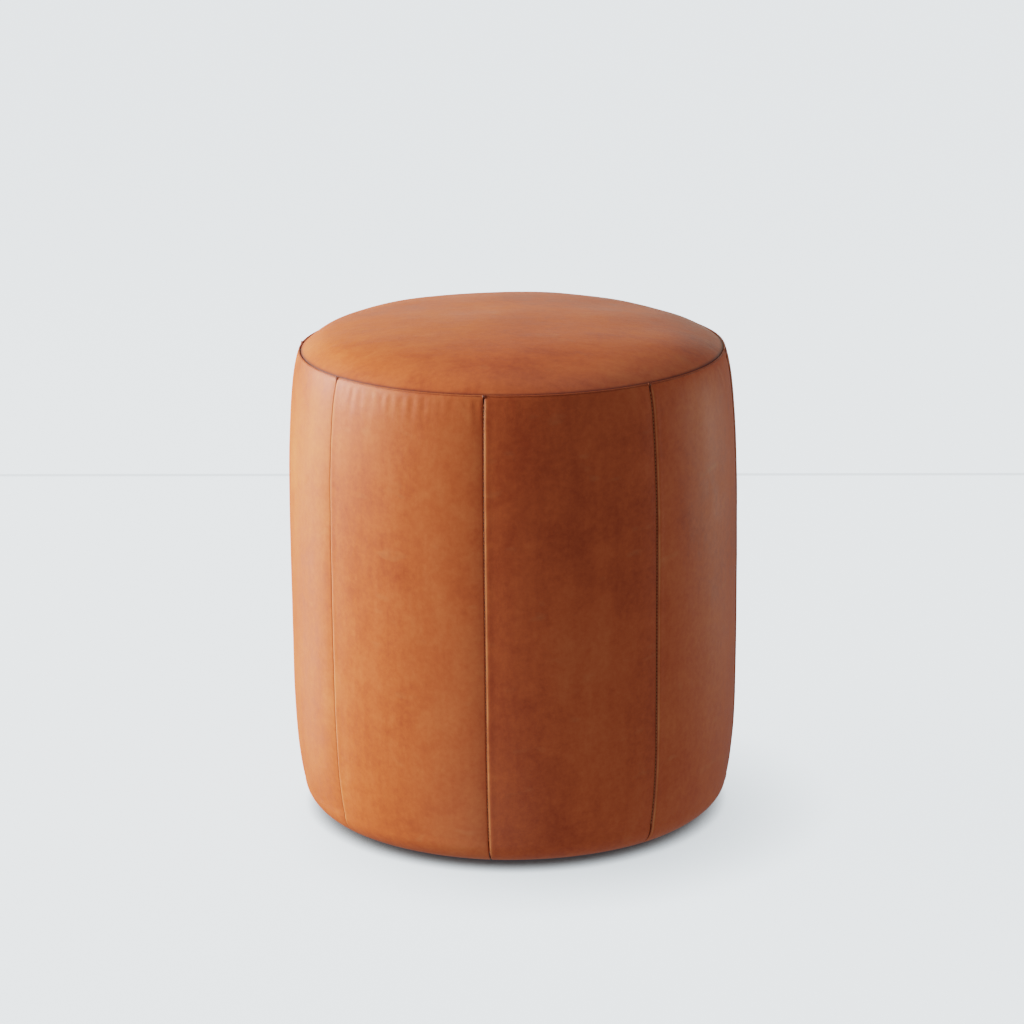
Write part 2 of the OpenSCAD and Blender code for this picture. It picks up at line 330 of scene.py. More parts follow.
def rgb(red, green, blue):
    """A linear colour from display values of 0 to 255."""
    def linear(v):
        v = v / 255
        return v / 12.92 if v <= 0.04045 else ((v + 0.055) / 1.055) ** 2.4

    return (linear(red), linear(green), linear(blue), 1.0)


# ---------------------------------------------------------------- materials


def leather(name, seed, streaks, tone=0.0):
    """Waxed caramel leather: cloudy colour, faint streaks, pale rubs, small marks and a fine grain."""
    n = Nodes(name)
    shifted = n.new("ShaderNodeVectorMath", {0: n.place, 1: (seed * 3.1, seed * 1.7, seed * 2.3)})
    place = shifted.outputs["Vector"]
    n.place = place
    clouds = n.noise(7.0, 5.0, 0.55, distortion=0.4)
    blotches = n.noise(34.0, 5.0, 0.65, distortion=0.6)
    flecks = n.noise(190.0, 4.0, 0.7)
    streak = n.noise(1.0, 3.0, 0.6, vector=n.stretched(streaks), distortion=0.3)
    pulls = n.noise(1.0, 3.0, 0.6, vector=n.stretched(tuple(3.6 * k for k in streaks)), distortion=0.5)
    tone_value = n.math("MULTIPLY", n.ramp(clouds, 0.3, 0.7, -1, 1), 0.5)
    tone_value = n.math("ADD", tone_value, n.ramp(blotches, 0.3, 0.7, -0.32, 0.32))
    tone_value = n.math("ADD", tone_value, n.ramp(flecks, 0.3, 0.7, -0.32, 0.32))
    tone_value = n.math("ADD", tone_value, n.ramp(streak, 0.3, 0.7, -0.2, 0.2))
    tone_value = n.math("ADD", tone_value, n.ramp(pulls, 0.3, 0.7, -0.12, 0.12))
    level = n.ramp(tone_value, -1.0, 1.0, tone, 1.0 + tone)
    dark, middle, light = rgb(168, 63, 25), rgb(202, 86, 38), rgb(220, 106, 54)
    colour = n.mix(n.ramp(level, 0.0, 0.5), dark, middle)
    colour = n.mix(n.ramp(level, 0.5, 1.0), colour, light)
    # pale rubs where the wax has been pulled, and small dark marks of the hide
    rubs = n.ramp(n.noise(1.0, 2.0, 0.5, vector=n.stretched((30, 30, 60), (0.5, 0.3, 0))), 0.66, 0.8)
    colour = n.mix(n.math("MULTIPLY", rubs, 0.18), colour, rgb(222, 142, 88))
    marks = n.ramp(n.cells(75.0), 0.05, 0.02)
    marks = n.math("MULTIPLY", marks, n.ramp(n.noise(23.0, 2.0), 0.5, 0.62))
    colour = n.mix(n.math("MULTIPLY", marks, 0.35), colour, rgb(120, 48, 18))
    # painted highlight: a pale line where the raised edge beside each side seam catches the light
    lip_highlight = n.math("MULTIPLY", n.attribute("lip_highlight"), n.ramp(blotches, 0.35, 0.65, 0.3, 0.7))
    colour = n.mix(lip_highlight, colour, rgb(232, 150, 92))
    # painted shade: the seam attribute darkens the leather to a deep brown in the seam grooves
    seam = n.attribute("seam")
    colour = n.mix(n.math("MULTIPLY", seam, 0.92), colour, rgb(62, 22, 8))
    rough = n.math("ADD", n.ramp(blotches, 0.3, 0.7, 0.42, 0.50), n.ramp(streak, 0.3, 0.7, -0.03, 0.03))
    pores = n.cells(1050.0, "DISTANCE_TO_EDGE")
    pores = n.ramp(pores, 0.0, 0.22)
    grain = n.math("ADD", n.math("MULTIPLY", pores, 0.6), n.noise(900.0, 3.0, 0.6))
    normal = n.bump(grain, 0.00012, 0.35)
    normal = n.bump(n.noise(120.0, 4.0, 0.6), 0.0005, 0.25, normal)
    return n.finish(colour, rough, normal, Specular_IOR_Level=0.2)


def thread_material():
    """Waxed thread, a little paler than the leather."""
    n = Nodes("seam_thread")
    strand = n.noise(2600.0, 2.0)
    colour = n.mix(n.ramp(strand, 0.3, 0.7), rgb(150, 78, 38), rgb(204, 128, 76))
    return n.finish(colour, n.ramp(strand, 0.3, 0.7, 0.55, 0.75), n.bump(strand, 0.0001, 0.6))


def wood(name, dark, light, grain, knots=0.0):
    """Raw wood with its grain along the axis where the scale is least."""
    n = Nodes(name)
    rings = n.noise(1.0, 6.0, 0.62, vector=n.stretched(grain), distortion=1.2)
    pores = n.noise(5.0, 3.0, 0.5, vector=n.stretched(tuple(6 * g for g in grain)))
    colour = n.mix(n.ramp(rings, 0.35, 0.65), dark, light)
    colour = n.mix(n.math("MULTIPLY", n.ramp(pores, 0.55, 0.75), 0.3), colour, dark)
    if knots:
        knot = n.ramp(n.cells(knots), 0.18, 0.05)
        colour = n.mix(n.math("MULTIPLY", knot, 0.7), colour, rgb(96, 58, 30))
    return n.finish(colour, n.ramp(rings, 0.3, 0.7, 0.6, 0.8), n.bump(pores, 0.0004, 0.4))


def plywood():
    """Birch plywood: veneers as bands in height, and a long face grain."""
    n = Nodes("plywood")
    height = n.new("ShaderNodeSeparateXYZ", {0: n.place}).outputs["Z"]
    ply = n.math("FRACT", n.math("MULTIPLY", height, 380.0))
    band = n.ramp(n.math("ABSOLUTE", n.math("SUBTRACT", ply, 0.5)), 0.2, 0.3)
    rings = n.noise(1.0, 5.0, 0.6, vector=n.stretched((6, 70, 6)), distortion=1.5)
    face = n.mix(n.ramp(rings, 0.35, 0.65), rgb(196, 158, 108), rgb(226, 194, 146))
    colour = n.mix(n.math("MULTIPLY", band, 0.35), face, rgb(150, 108, 66))
    return n.finish(colour, n.ramp(rings, 0.3, 0.7, 0.55, 0.75), n.bump(rings, 0.0003, 0.3))


def hardboard():
    """Brown pressed fibre board."""
    n = Nodes("hardboard")
    fibre = n.noise(420.0, 5.0, 0.7)
    cloud = n.noise(14.0, 3.0)
    colour = n.mix(n.ramp(fibre, 0.35, 0.65), rgb(112, 72, 40), rgb(158, 110, 68))
    colour = n.mix(n.ramp(cloud, 0.3, 0.7, 0.0, 0.3), colour, rgb(96, 60, 32))
    return n.finish(colour, n.ramp(fibre, 0.3, 0.7, 0.5, 0.7), n.bump(fibre, 0.0002, 0.5))


def metal(name, tint, rough):
    """Plated wire or screws, lightly scuffed."""
    n = Nodes(name)
    scuff = n.noise(1.0, 4.0, 0.6, vector=n.stretched((900, 900, 120)))
    spots = n.noise(300.0, 3.0)
    colour = n.mix(n.ramp(spots, 0.3, 0.7, 0.0, 0.4), tint, tuple(0.6 * c for c in tint[:3]) + (1,))
    return n.finish(colour, n.ramp(scuff, 0.3, 0.7, rough, rough + 0.2), n.bump(scuff, 0.00005, 0.5),
                    Metallic=1.0)


def plastic():
    """Black moulded plastic, paler where it has been scuffed."""
    n = Nodes("glide_plastic")
    texture = n.cells(1500.0)
    scuffs = n.noise(1.0, 4.0, 0.6, vector=n.stretched((150, 700, 50)))
    colour = n.mix(n.ramp(scuffs, 0.55, 0.75), rgb(30, 30, 32), rgb(74, 72, 70))
    return n.finish(colour, n.ramp(scuffs, 0.3, 0.7, 0.4, 0.62), n.bump(texture, 0.0001, 0.3))


def dust_cloth():
    """Spun-bonded black cloth with its pattern of small welded dots."""
    n = Nodes("dust_cloth")
    dots = n.ramp(n.cells(420.0, vector=n.stretched((1, 1, 0))), 0.25, 0.4)
    fibres = n.noise(1.0, 4.0, 0.7, vector=n.stretched((900, 300, 300)))
    colour = n.mix(dots, rgb(20, 20, 21), rgb(44, 44, 46))
    colour = n.mix(n.ramp(fibres, 0.4, 0.7, 0.0, 0.5), colour, rgb(62, 62, 64))
    height = n.math("ADD", dots, n.math("MULTIPLY", fibres, 0.5))
    return n.finish(colour, n.ramp(fibres, 0.3, 0.7, 0.75, 0.95), n.bump(height, 0.00015, 0.7))


def foam():
    """Yellowed foam with small cells."""
    n = Nodes("foam")
    bubbles = n.cells(520.0)
    big = n.cells(170.0)
    age = n.noise(9.0, 3.0)
    colour = n.mix(n.ramp(bubbles, 0.1, 0.5), rgb(206, 186, 126), rgb(240, 226, 178))
    colour = n.mix(n.ramp(age, 0.35, 0.7, 0.0, 0.4), colour, rgb(222, 190, 120))
    height = n.math("ADD", bubbles, n.math("MULTIPLY", big, 0.5))
    return n.finish(colour, n.ramp(bubbles, 0.1, 0.5, 0.85, 0.95), n.bump(height, 0.0006, 0.8))


def wadding():
    """White polyester wadding, in loose tufts."""
    n = Nodes("wadding")
    fibres = n.noise(1.0, 6.0, 0.75, vector=n.stretched((260, 260, 90)), distortion=2.0)
    tufts = n.noise(60.0, 4.0, 0.6, distortion=1.0)
    colour = n.mix(n.ramp(fibres, 0.35, 0.65), rgb(222, 220, 214), rgb(248, 247, 243))
    height = n.math("ADD", fibres, tufts)
    return n.finish(colour, n.ramp(tufts, 0.3, 0.7, 0.88, 0.98), n.bump(height, 0.001, 0.7),
                    Sheen_Weight=0.3, Sheen_Roughness=0.6)


# ---------------------------------------------------------------- the cover's shape

# Gathers under the top seam: range in degrees from the front, how many, depth, and how far they lean
GATHERS = (
    (-47, -17, 9, 0.85 * MM, 0.05),
    (-14, -2, 4, 0.45 * MM, 0.05),
    (66, 82, 4, 0.8 * MM, 0.7),
    (-180, 180, 56, 0.28 * MM, 0.1),
)


def gathers(front, below):
    """Inward depth of the gathers at an azimuth from the front and a length below the seam."""
    depth = np.zeros(np.broadcast(front, below).shape)
    for seed, (start, end, count, size, lean) in enumerate(GATHERS):
        rng = np.random.default_rng(40 + seed)
        for k in range(count):
            at = math.radians(start + (end - start) * (k + rng.uniform(0.2, 0.8)) / count)
            width = rng.uniform(2.2, 3.6) * MM
            reach = rng.uniform(13, 30) * MM
            slope = rng.uniform(-0.1, 0.1) + lean * rng.uniform(0.4, 1.0)
            turn = (front - at + math.pi) % (2 * math.pi) - math.pi
            side = (turn * DRUM_R - slope * below) / width
            fold = bell(side, 1) - 0.5 * bell(side, 1.9)
            fade = bell(below, reach) * smooth(0, 5 * MM, below)
            depth = depth + size * rng.uniform(0.5, 1.2) * fold * fade
    return depth


# Points of the side cover's grid: down the wall, along the tab, and across half a panel
WALL_ROWS = 96
TAB_ROWS = 8
HALF_COLUMNS = 44


def profile(rows_on_wall):
    """The side cover in section, from its turned edge inside the top seam down to the end of the tab.
    Each row has the radius, the height, the outward normal's two parts and the length from the seam."""
    rolled_r = SEAM_R + SEAM_GAP
    rows = [(rolled_r, z) for z in np.linspace(SEAM_Z - ALLOWANCE, SEAM_Z - SEAM_ROLL, 4)[:-1]]
    for a in np.linspace(math.pi, math.pi / 2, 7):
        rows.append((rolled_r + SEAM_ROLL * (1 + math.cos(a)), SEAM_Z + SEAM_ROLL * (math.sin(a) - 1)))
    top_row = len(rows) - 1
    for a in np.linspace(math.pi / 2, 0, 17)[1:]:
        z = SEAM_Z - SHOULDER_H * (1 - math.sin(a))
        rows.append((float(wall_r(z)), z))
    high, round_z = SEAM_Z - SHOULDER_H, WALL_LOW + BOTTOM_ROUND
    share = np.linspace(0, 1, rows_on_wall)[1:]
    # closer rows towards both ends
    share = share - 0.1 * np.sin(2 * math.pi * share)
    rows.extend((float(wall_r(z)), float(z)) for z in high - (high - round_z) * share)
    for a in np.linspace(0, -math.pi / 2, 14)[1:]:
        rows.append((FRAME_R + BOTTOM_ROUND * math.cos(a), round_z + BOTTOM_ROUND * math.sin(a)))
    rows.extend((r, WALL_LOW) for r in np.linspace(FRAME_R, FRAME_R - TAB_W, TAB_ROWS)[1:])
    line = np.array(rows)
    step = np.gradient(line, axis=0)
    step = step / np.linalg.norm(step, axis=1, keepdims=True)
    normal = np.stack([-step[:, 1], step[:, 0]], axis=1)
    length = np.concatenate([[0], np.cumsum(np.linalg.norm(np.diff(line, axis=0), axis=1))])
    return np.column_stack([line, normal, length - length[top_row]])


def panel_columns(between):
    """Columns across half a panel, from its turned edge to its middle. Each has a distance from the
    seam, a depth below the skin, and a share of the half width that is added to the distance."""
    roll = 1.3 * MM
    columns = [(SEAM_GAP, roll + d, 0.0) for d in np.linspace(ALLOWANCE - roll, 1 * MM, 4)]
    for a in np.linspace(0, math.pi / 2, 7):
        columns.append((SEAM_GAP + roll * (1 - math.cos(a)), roll * (1 - math.sin(a)), 0.0))
    columns.extend((SEAM_GAP + roll, 0.0, share) for share in np.linspace(0, 1, between)[1:] ** 1.25)
    return np.array(columns)


PROFILE = profile(WALL_ROWS)
COLUMNS = panel_columns(HALF_COLUMNS)
swell = waves(5, 14, 0.06, 0.30)
ripple = waves(6, 18, 0.012, 0.05)


def cut_shape(front, below, z):
    """How far the side cover lies inside its profile as it is sewn, before the padding fills it."""
    return gathers(front, below) - 0.25 * MM * swell(front * DRUM_R, z)


def on_wall(along, z):
    """1 over the wall, falling to 0 at the top seam and under the base."""
    return smooth(0, 8 * MM, along) * smooth(WALL_LOW, WALL_LOW + 20 * MM, z)


CLOTH_COLUMNS = 64  # across each panel
CLOTH_ROWS = 64
CLOTH_EVEN = 0.36  # how evenly the rows are spaced
CLOTH_FRAMES = 20
CLOTH_PRESSURE = 4.0
CLOTH_STIFF = 6
CLOTH_OUT = 1.6 * MM  # the most that the cover may end up outside its profile
CLOTH_IN = 0.9 * MM  # the most that it may end up inside


def cloth_rows():
    """Lengths down the wall from the top seam of the cloth's rows, closer together near the seam."""
    share = np.linspace(0, 1, CLOTH_ROWS)
    return PROFILE[-TAB_ROWS, 4] * (CLOTH_EVEN * share + (1 - CLOTH_EVEN) * share**2)


def cloth_start(along):
    """The cloth's mesh as it is sewn: its points and their outward normals, row by row."""
    line = [np.interp(along, PROFILE[:, 4], PROFILE[:, k])[:, None] for k in range(4)]
    r, z, nr, nz = line
    azimuth = SEAM_TURN + np.arange(PANELS * CLOTH_COLUMNS) * PANEL_ANGLE / CLOTH_COLUMNS
    front = azimuth + math.pi / 2
    inward = cut_shape(front, along[:, None], z) * on_wall(along[:, None], z)
    radius = r - inward * nr
    points = np.stack([radius * np.cos(azimuth), radius * np.sin(azimuth), z - inward * nz], axis=-1)
    normals = np.stack([nr * np.cos(azimuth), nr * np.sin(azimuth), nz + 0 * azimuth], axis=-1)
    return points, normals, inward


def relax_cover():
    """Blows the side cover up against its seams as cloth, and returns how far each point of its grid
    ends up inside the profile. The cloth is held along every seam and under the base."""
    along = cloth_rows()
    points, normals, inward = cloth_start(along)
    rows, columns = points.shape[:2]
    faces = grid_faces(rows, columns, 0, flip=True, wrap=True)
    cloth = mesh_object("cloth_trial", points.reshape(-1, 3), faces)
    held = cloth.vertex_groups.new(name="held")
    number = np.arange(rows * columns).reshape(rows, columns)
    sewn = np.concatenate([number[0], number[-1], number[:, ::CLOTH_COLUMNS].ravel()])
    held.add([int(k) for k in np.unique(sewn)], 1.0, "REPLACE")
    settings = cloth.modifiers.new("cloth", "CLOTH").settings
    settings.vertex_group_mass = "held"
    settings.quality = 5
    settings.mass = 0.3
    settings.tension_stiffness = settings.compression_stiffness = CLOTH_STIFF
    settings.shear_stiffness = CLOTH_STIFF / 3
    settings.bending_stiffness = 3
    settings.use_pressure = True
    settings.uniform_pressure_force = CLOTH_PRESSURE
    settings.effector_weights.gravity = 0
    scene = bpy.context.scene
    for step in range(1, CLOTH_FRAMES + 1):
        scene.frame_set(step)
    blown = cloth.evaluated_get(bpy.context.evaluated_depsgraph_get()).to_mesh()
    ends = np.empty(3 * rows * columns, np.float32)
    blown.vertices.foreach_get("co", ends)
    moved = ((ends.reshape(points.shape) - points) * normals).sum(axis=2)
    bpy.data.objects.remove(cloth, do_unlink=True)
    scene.frame_set(1)
    inside = inward - moved
    cap = np.where(inside < 0, CLOTH_OUT, CLOTH_IN)
    return cap * np.tanh(inside / cap)


def between(values, at):
    """Rows of a table at fractional row numbers, by a smooth cubic."""
    first = np.clip(np.floor(at).astype(int), 1, len(values) - 3)
    t = (at - first)[:, None]
    a, b, c, d = (values[first + k] for k in (-1, 0, 1, 2))
    curve = (3 * (b - c) + d - a) * t**3 + (2 * a - 5 * b + 4 * c - d) * t**2 + (c - a) * t
    return b + 0.5 * curve


RELAXED = relax_cover()
CLOTH_ALONG = cloth_rows()


def relaxed(azimuth, along):
    """How far the relaxed cover lies inside its profile, for one row of points."""
    along = min(max(along, 0.0), CLOTH_ALONG[-1])
    place = np.interp(along, CLOTH_ALONG, np.arange(CLOTH_ROWS))
    row = between(RELAXED, np.array([place]))[0]
    around = np.concatenate([row[-2:], row, row[:3]])
    at = (azimuth - SEAM_TURN) % (2 * math.pi) / (2 * math.pi) * len(row)
    return between(around[:, None], at + 2)[:, 0]


def cover_point(azimuth, from_start, from_end, depth, row):
    """A row of points of the side cover, from their distances to both seams and depths below the skin."""
    r, z, nr, nz, along = row
    # both turned edges lie under the start of each panel, which stands up along its seam
    pull = 0.25 * MM * bell(from_start, 1.8 * MM) + 1.1 * MM * np.exp(-from_end / (6 * MM))
    pull = pull - 0.30 * MM * bell(from_start - 3 * MM, 3.0 * MM)
    pull = pull - 0.05 * MM * ripple((azimuth + math.pi / 2) * DRUM_R, z)
    inward = depth + pull * on_wall(along, z) + relaxed(azimuth, along) * smooth(0, 9 * MM, along)
    radius = r - inward * nr
    height = z - inward * nz
    return np.stack([radius * np.cos(azimuth), radius * np.sin(azimuth), height], axis=-1)


def turned_depth(along, z):
    """How deep the turned edges go at a place along the profile."""
    at_top = 0.9 * MM + 2.1 * MM * smooth(1 * MM, 5 * MM, along) + 5 * MM * smooth(5 * MM, 16 * MM, along)
    at_base = 1.0 * MM + 3 * MM * smooth(WALL_LOW, WALL_LOW + 4 * MM, z)
    at_base = at_base + 4 * MM * smooth(WALL_LOW + 6 * MM, WALL_LOW + 24 * MM, z)
    return min(at_top, at_base)


def side_panel(i):
    """One panel of the side cover, its edges turned in along both seams."""
    start = SEAM_TURN + (i - 1) * PANEL_ANGLE
    fixed, full_depth, share = COLUMNS.T
    rows, seams, lip_highlights = [], [], []
    for row in PROFILE:
        r, z, along = row[0], row[1], row[4]
        off = fixed + share * (r * PANEL_ANGLE / 2 - fixed)
        depth = np.minimum(full_depth, turned_depth(along, z))
        from_start = np.concatenate([off, r * PANEL_ANGLE - off[::-1][1:]])
        depth = np.concatenate([depth, depth[::-1][1:]])
        from_end = r * PANEL_ANGLE - from_start
        rows.append(cover_point(start + from_start / r, from_start, from_end, depth, row))
        # painted shade: dark along both side seam grooves and over the rolled edge under the top seam
        dark = bell(from_start, 0.6 * MM) + bell(from_end, 0.8 * MM)
        seams.append(np.maximum(dark, bell(max(along + SEAM_ROLL, 0), 1.4 * MM)))
        # painted highlight on the raised edge just past the panel's first seam
        lip_highlights.append(bell(from_start - 1.5 * MM, 0.6 * MM) * on_wall(along, z))
    obj = thick_sheet(f"cover_panel_{i}", np.array(rows), SKIN_T)
    for name, values in (("seam", seams), ("lip_highlight", lip_highlights)):
        outer = np.array(values).ravel()
        point_attribute(obj, name, np.concatenate([outer, outer]))
    return obj


# Points of the top cover's grid: out from its middle, and round it
TOP_ROWS = 84
TOP_COLUMNS = 480
RIM_GATHERS = 60


def crown_profile():
    """The top cover in section, from its middle to the end of its turned edge."""
    rolled_r = SEAM_R - SEAM_GAP
    last_r = rolled_r
    # the crown meets the rolled edge where both slope alike, which a few rounds find
    for _ in range(4):
        slope = math.atan(crown_slope(last_r))
        last_r = rolled_r - CROWN_ROLL * (1 - math.sin(slope))
    rows = [(r, float(crown_z(r))) for r in last_r * np.sin(np.linspace(0.004, math.pi / 2, TOP_ROWS))]
    middle_r = rolled_r - CROWN_ROLL
    middle_z = rows[-1][1] - CROWN_ROLL * math.cos(slope)
    for a in np.linspace(math.pi / 2 - slope, 0, 8)[1:]:
        rows.append((middle_r + CROWN_ROLL * math.cos(a), middle_z + CROWN_ROLL * math.sin(a)))
    rows.extend((rolled_r, z) for z in np.linspace(middle_z, SEAM_Z - ALLOWANCE, 5)[1:])
    return np.array(rows)


def top_cover():
    """The crowned top of the cover, with its edge turned down at the seam."""
    line = crown_profile()
    azimuth = np.linspace(0, 2 * math.pi, TOP_COLUMNS, endpoint=False)
    r = line[:, :1]
    x = r * np.cos(azimuth)
    y = r * np.sin(azimuth)
    from_edge = SEAM_R - r
    inside = smooth(0, 25 * MM, from_edge)
    dip = 0.6 * MM * waves(8, 14, 0.06, 0.25)(x, y) * inside + CROWN_LEAN * x * inside
    dip = dip + 0.05 * MM * waves(9, 18, 0.01, 0.04)(x, y) * inside
    # short gathers of the rim
    rng = np.random.default_rng(77)
    rim = bell(from_edge, 10 * MM) * smooth(1 * MM, 4 * MM, from_edge)
    for k in range(RIM_GATHERS):
        at = 2 * math.pi * (k + rng.random()) / RIM_GATHERS
        turn = (azimuth - at + math.pi) % (2 * math.pi) - math.pi
        width = rng.uniform(2.0, 4.0) * MM
        dip = dip + rng.uniform(0.05, 0.28) * MM * bell(turn * SEAM_R, width) * rim
    points = np.stack([x, y, line[:, 1:] - dip], axis=-1)
    obj = thick_sheet("cover_top", points[::-1, ::-1], SKIN_T, wrap=True)
    close_middle(obj, 1.5 * MM)
    centre = np.array([math.hypot(v.co.x, v.co.y) for v in obj.data.vertices])
    # painted shade along the turned edge, where the top seam's groove lies
    point_attribute(obj, "seam", bell(SEAM_R - SEAM_GAP - centre, 1.7 * MM))
    return obj


def close_middle(obj, reach):
    """Merges the small rings round the axis, outside and inside, each into one point."""
    work = bmesh.new()
    work.from_mesh(obj.data)
    near = [v for v in work.verts if math.hypot(v.co.x, v.co.y) < reach]
    top = max(v.co.z for v in near)
    upper = [v for v in near if v.co.z > top - SKIN_T / 2]
    lower = [v for v in near if v.co.z <= top - SKIN_T / 2]
    for ring in (upper, lower):
        middle = sum((v.co for v in ring), Vector()) / len(ring)
        bmesh.ops.pointmerge(work, verts=ring, merge_co=middle)
    work.to_mesh(obj.data)
    work.free()


# ---------------------------------------------------------------- stitches

STITCH_PITCH = 3.2 * MM
STITCH_L = 2.4 * MM
STITCH_R = 0.36 * MM


def stitches(name, places):
    """Short rounded stitches in one mesh, one for each pair of a centre and a direction."""
    sides = 8
    ends = ((-0.5, 0.35), (-0.42, 0.8), (-0.2, 1.0), (0.2, 1.0), (0.42, 0.8), (0.5, 0.35))
    points, faces = [], []
    for centre, direction in places:
        direction = Vector(direction).normalized()
        across = direction.orthogonal().normalized()
        other = direction.cross(across)
        first = len(points)
        for along, share in ends:
            for k in range(sides):
                a = 2 * math.pi * k / sides
                ring = STITCH_R * share * (math.cos(a) * across + math.sin(a) * other)
                points.append(Vector(centre) + along * STITCH_L * direction + ring)
        for k in range(len(ends) - 1):
            for j in range(sides):
                a = first + k * sides + j
                b = first + k * sides + (j + 1) % sides
                faces.append((a, b, b + sides, a + sides))
        last = first + (len(ends) - 1) * sides
        faces.append([first + j for j in reversed(range(sides))])
        faces.append([last + j for j in range(sides)])
    return mesh_object(name, points, faces)


def top_stitches():
    """Stitches lying in the groove of the top seam."""
    count = round(2 * math.pi * SEAM_R / STITCH_PITCH)
    z = SEAM_Z - 0.4 * MM
    places = []
    for k in range(count):
        a = 2 * math.pi * k / count
        places.append(((SEAM_R * math.cos(a), SEAM_R * math.sin(a), z), (-math.sin(a), math.cos(a), 0.1)))
    return stitches("stitches_top", places)


def side_stitches():
    """Stitches lying in the grooves of the side seams."""
    low, high = WALL_LOW + BOTTOM_ROUND, SEAM_Z - 6 * MM
    count = round((high - low) / STITCH_PITCH)
    depth = 1.35 * MM
    places = []
    for i in range(PANELS):
        a = SEAM_TURN + i * PANEL_ANGLE
        for k in range(count):
            z = low + (high - low) * (k + 0.5) / count
            r = float(wall_r(z)) - depth
            rise = float(wall_r(z + MM)) - depth - r
            centre = (r * math.cos(a), r * math.sin(a), z)
            places.append((centre, (rise * math.cos(a), rise * math.sin(a), MM)))
    return stitches("stitches_side", places)


# ---------------------------------------------------------------- padding and dust cover


def lathe(name, section, slots, dents, seed):
    """A closed solid turned from a closed section of (r, z) points, with small dents, and slots of a
    given depth in its outer face for the turned edges of the side seams."""
    line = np.array(section)
    panel_w = DRUM_R * PANEL_ANGLE
    # distances from a seam: the last column in the slot, the first one past it, and the next one
    slot_end, face_start, face_next = 1.6 * MM, 2.4 * MM, 8 * MM
    offsets = [0.0, slot_end, face_start]
    offsets.extend(np.linspace(face_next, panel_w - face_next, 16))
    offsets.extend([panel_w - face_start, panel_w - slot_end])
    turn = np.array(offsets) / DRUM_R
    azimuth = np.concatenate([SEAM_TURN + i * PANEL_ANGLE + turn for i in range(PANELS)])
    slot_edge = (slot_end + face_start) / 2
    in_slot = np.tile(np.minimum(turn, PANEL_ANGLE - turn) * DRUM_R < slot_edge, PANELS)
    r, z = line[:, :1], line[:, 1:]
    bumps = waves(seed, 16, 0.02, 0.09)(azimuth * DRUM_R, z + r) * dents
    outer = smooth(line[:, 0].mean() - MM, line[:, 0].mean() + MM, r)
    floor_r = line[:, 0].min() + 0.5 * MM
    slotted = np.where(in_slot, np.maximum(r - slots * outer, np.minimum(r, floor_r)), r)
    radius = np.where(r > 1e-6, slotted - np.abs(bumps) * outer, 0)
    points = np.stack(
        [radius * np.cos(azimuth), radius * np.sin(azimuth), np.broadcast_to(z, radius.shape)], axis=-1
    )
    rows, columns = points.shape[:2]
    faces = grid_faces(rows, columns, 0, wrap=True)
    first = np.arange(columns)
    last = (rows - 1) * columns + first
    close = np.stack([last, np.roll(last, -1), np.roll(first, -1), first], axis=-1)
    obj = mesh_object(name, points.reshape(-1, 3), np.concatenate([faces, close]))
    work = bmesh.new()
    work.from_mesh(obj.data)
    bmesh.ops.remove_doubles(work, verts=work.verts, dist=1e-6)
    bmesh.ops.dissolve_degenerate(work, edges=work.edges, dist=1e-7)
    bmesh.ops.recalc_face_normals(work, faces=work.faces)
    work.to_mesh(obj.data)
    work.free()
    return obj


def wall_line(inset, r_from, z_to, steps=26):
    """Points of the wall at an inset, from the underside at radius r_from up to height z_to."""
    round_z = WALL_LOW + BOTTOM_ROUND
    reach = BOTTOM_ROUND - inset
    points = [(r_from, round_z - reach)]
    for a in np.linspace(-math.pi / 2, 0, 9):
        points.append((FRAME_R + reach * math.cos(a), round_z + reach * math.sin(a)))
    points.extend((float(wall_r(z)) - inset, z) for z in np.linspace(round_z, z_to, steps)[1:])
    return points


def crown_line(depth, r_to, steps=24):
    """Points of the crown at a depth below its surface, from near the axis out to r_to."""
    radii = r_to * np.sin(np.linspace(0, math.pi / 2, steps))
    return [(float(r), float(crown_z(r)) - depth) for r in radii]


def padding():
    """The wadding and foam, a little clear of the leather and of each other."""
    skin, clear = SKIN_T + 1.4 * MM, 0.3 * MM
    side_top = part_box("side_foam")[1].z
    foam_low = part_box("seat_foam")[0].z
    seat_r = SEAM_R - SKIN_T - 2 * MM
    foam_r = FRAME_R - clear
    deep = skin + BATTING_T
    pieces = (
        ("wadding_seat", "seat_batting", "wadding",
         crown_line(skin, seat_r) + crown_line(deep, seat_r)[::-1], 0.0),
        ("foam_seat", "seat_foam", "foam",
         crown_line(deep + clear, foam_r) + [(foam_r, foam_low), (0.0, foam_low)], 0.0),
        ("wadding_side", "side_batting", "wadding",
         wall_line(skin, FRAME_R, side_top) + wall_line(deep, FRAME_R, side_top)[::-1], 8 * MM),
        ("foam_side", "side_foam", "foam",
         wall_line(deep + clear, FRAME_R + clear, side_top) + [(FRAME_R + clear, side_top)], 0.0),
    )
    looks = {"foam": foam(), "wadding": wadding()}
    for seed, (name, node, slot, section, slots) in enumerate(pieces):
        obj = lathe(name, section, slots, 0.5 * MM, 20 + seed)
        finish_piece(obj, looks[slot], slot, node)


